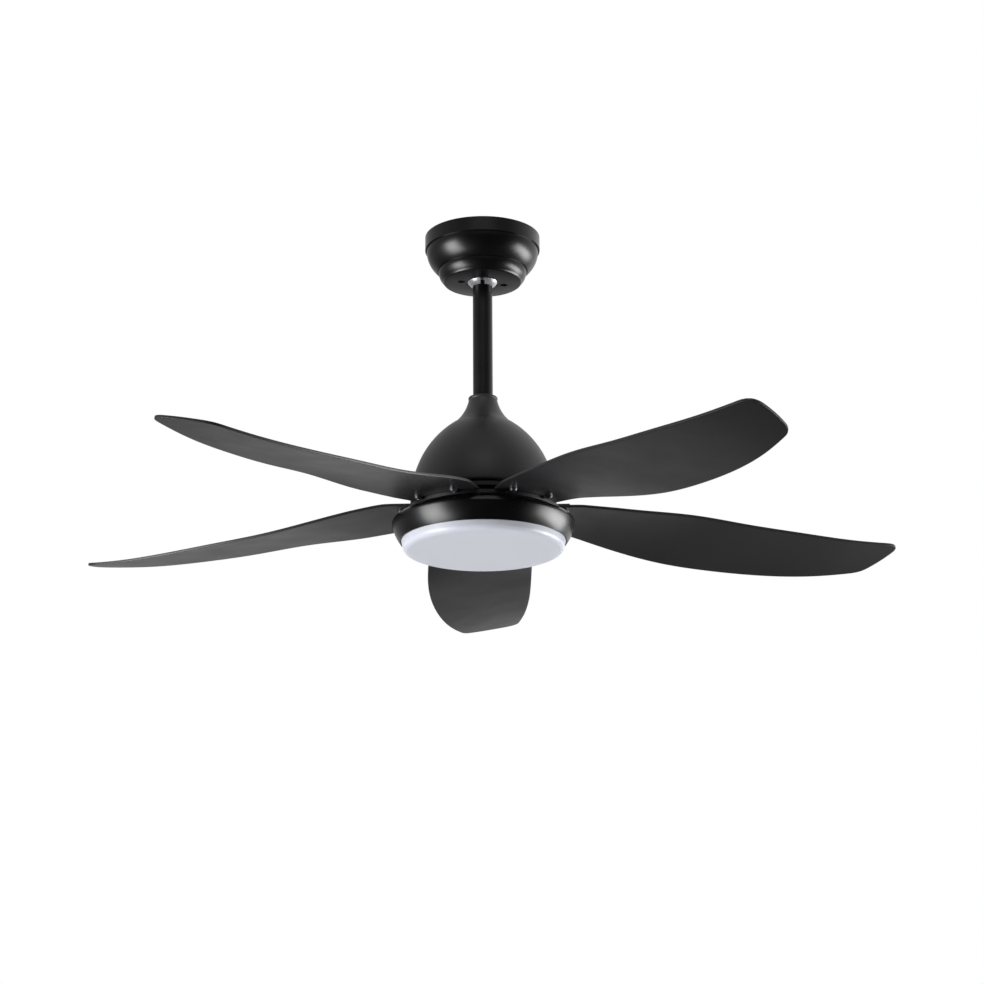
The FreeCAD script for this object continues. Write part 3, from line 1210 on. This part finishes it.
def led_board():
    bottom = led_board_z - LED_BOARD_THICKNESS
    board = cylinder(LED_BOARD_RADIUS, bottom, led_board_z)
    for hole in led_standoff_places(cylinder(LED_SCREW_HOLE_RADIUS, bottom - 1, led_board_z + 1)):
        board = board.cut(hole)
    return board


def led_board_screws():
    screw = pan_screw(LED_SCREW_HEAD_RADIUS, LED_SCREW_HEAD_HEIGHT, LED_SCREW_DIAMETER, LED_BOARD_THICKNESS)
    return led_standoff_places(placed(screw, 0, 0, led_board_z - LED_BOARD_THICKNESS))


def led_chips():
    """Rings of light-emitting chips under the board."""
    top = led_board_z - LED_BOARD_THICKNESS
    chips = []
    for radius, count in LED_ROWS:
        half = LED_SIZE / 2
        chip = block(radius - half, radius + half, -half, half, top - LED_HEIGHT, top)
        chips += spread(chip, count)
    return chips


def lens():
    """The milky cup, with a collar inside the ring and three lugs that turn over the ring's ledge."""
    radius = RING_OPENING_RADIUS - LENS_CLEARANCE
    bottom = ring_bottom_z - LENS_DROP
    collar_top = ring_bottom_z + LENS_COLLAR_HEIGHT
    corner = LENS_EDGE_ROUND
    inner = radius - LENS_WALL
    lean = LENS_LEAN
    outline = [
        (radius, collar_top), (radius, ring_bottom_z), (radius - lean, bottom + corner),
        bulged((radius - lean, bottom + corner), (radius - lean - corner, bottom), corner * 0.29),
        (0, bottom), (0, bottom + LENS_WALL), (inner - lean - corner, bottom + LENS_WALL),
        bulged((inner - lean - corner, bottom + LENS_WALL), (inner - lean, bottom + LENS_WALL + corner),
               -corner * 0.29),
        (inner, ring_bottom_z), (inner, collar_top),
    ]
    cup = revolved(outline)
    lug_bottom = ledge_top_z + LUG_CLEARANCE
    lug = ring_sector(radius + LUG_REACH, radius - LENS_WALL / 2, lug_bottom, lug_bottom + LUG_HEIGHT,
                      -LUG_ANGLE / 2, LUG_ANGLE)
    return cup.fuse(spread(lug, LUG_COUNT)).removeSplitter()


# ---- write every node -------------------------------------------------------------------------------
os.makedirs("parts", exist_ok=True)

save("hanging_bracket", hanging_bracket())
save("canopy", canopy())
save("canopy_screws", canopy_screws())
save("receiver_box", receiver_box())
save("terminal_block", terminal_block())
save("ground_screw", ground_screw())

save("hanger_ball", hanger_ball())
save("ball_pin", ball_pin())
save("ball_lock_screw", ball_lock_screw())
save("downrod", downrod())
save("coupling", coupling())
save("clevis_pin", clevis_pin())
save("clevis_clip", clevis_clip())
save("rod_set_screws", rod_set_screws())
save("neck_cover", neck_cover())
save("motor_dome", motor_dome())
save("dome_screws", dome_screws())
save("board_standoffs", board_standoffs())
save("motor_driver_board", motor_driver_board())
save("board_screws", board_screws())
save("driver_components", driver_components())

save("motor_shaft", motor_shaft())
save("shaft_circlip", shaft_circlip())
save("upper_inner_race", inner_race(upper_bearing_bottom_z))
save("lower_inner_race", inner_race(lower_bearing_bottom_z))
save("upper_outer_race", outer_race(upper_bearing_bottom_z))
save("lower_outer_race", outer_race(lower_bearing_bottom_z))
save("bearing_balls", bearing_balls())
save("stator_sleeve", stator_sleeve())
save("stator_core", stator_core())
save("stator_windings", stator_windings())
save("rotor_bell", rotor_bell())
save("bell_screws", bell_screws())
save("rotor_magnets", rotor_magnets())

save("blade_hub", blade_hub())
single_blade = blade()
for number, blade_angle in enumerate(blade_angles, 1):
    save("blade_%d" % number, turned_about_z(single_blade, blade_angle))
save("blade_washers", blade_washers())
save("blade_screws", blade_screws())

save("plate_spacer", plate_spacer())
save("light_plate", light_plate())
save("shaft_washer", shaft_washer())
save("shaft_nut", shaft_nut())
save("light_ring", light_ring())
save("ring_screws", ring_screws())
save("led_driver", led_driver())
save("led_driver_screws", led_driver_screws())
save("led_standoffs", led_standoffs())
save("led_board", led_board())
save("led_board_screws", led_board_screws())
save("led_chips", led_chips())
save("lens", lens())
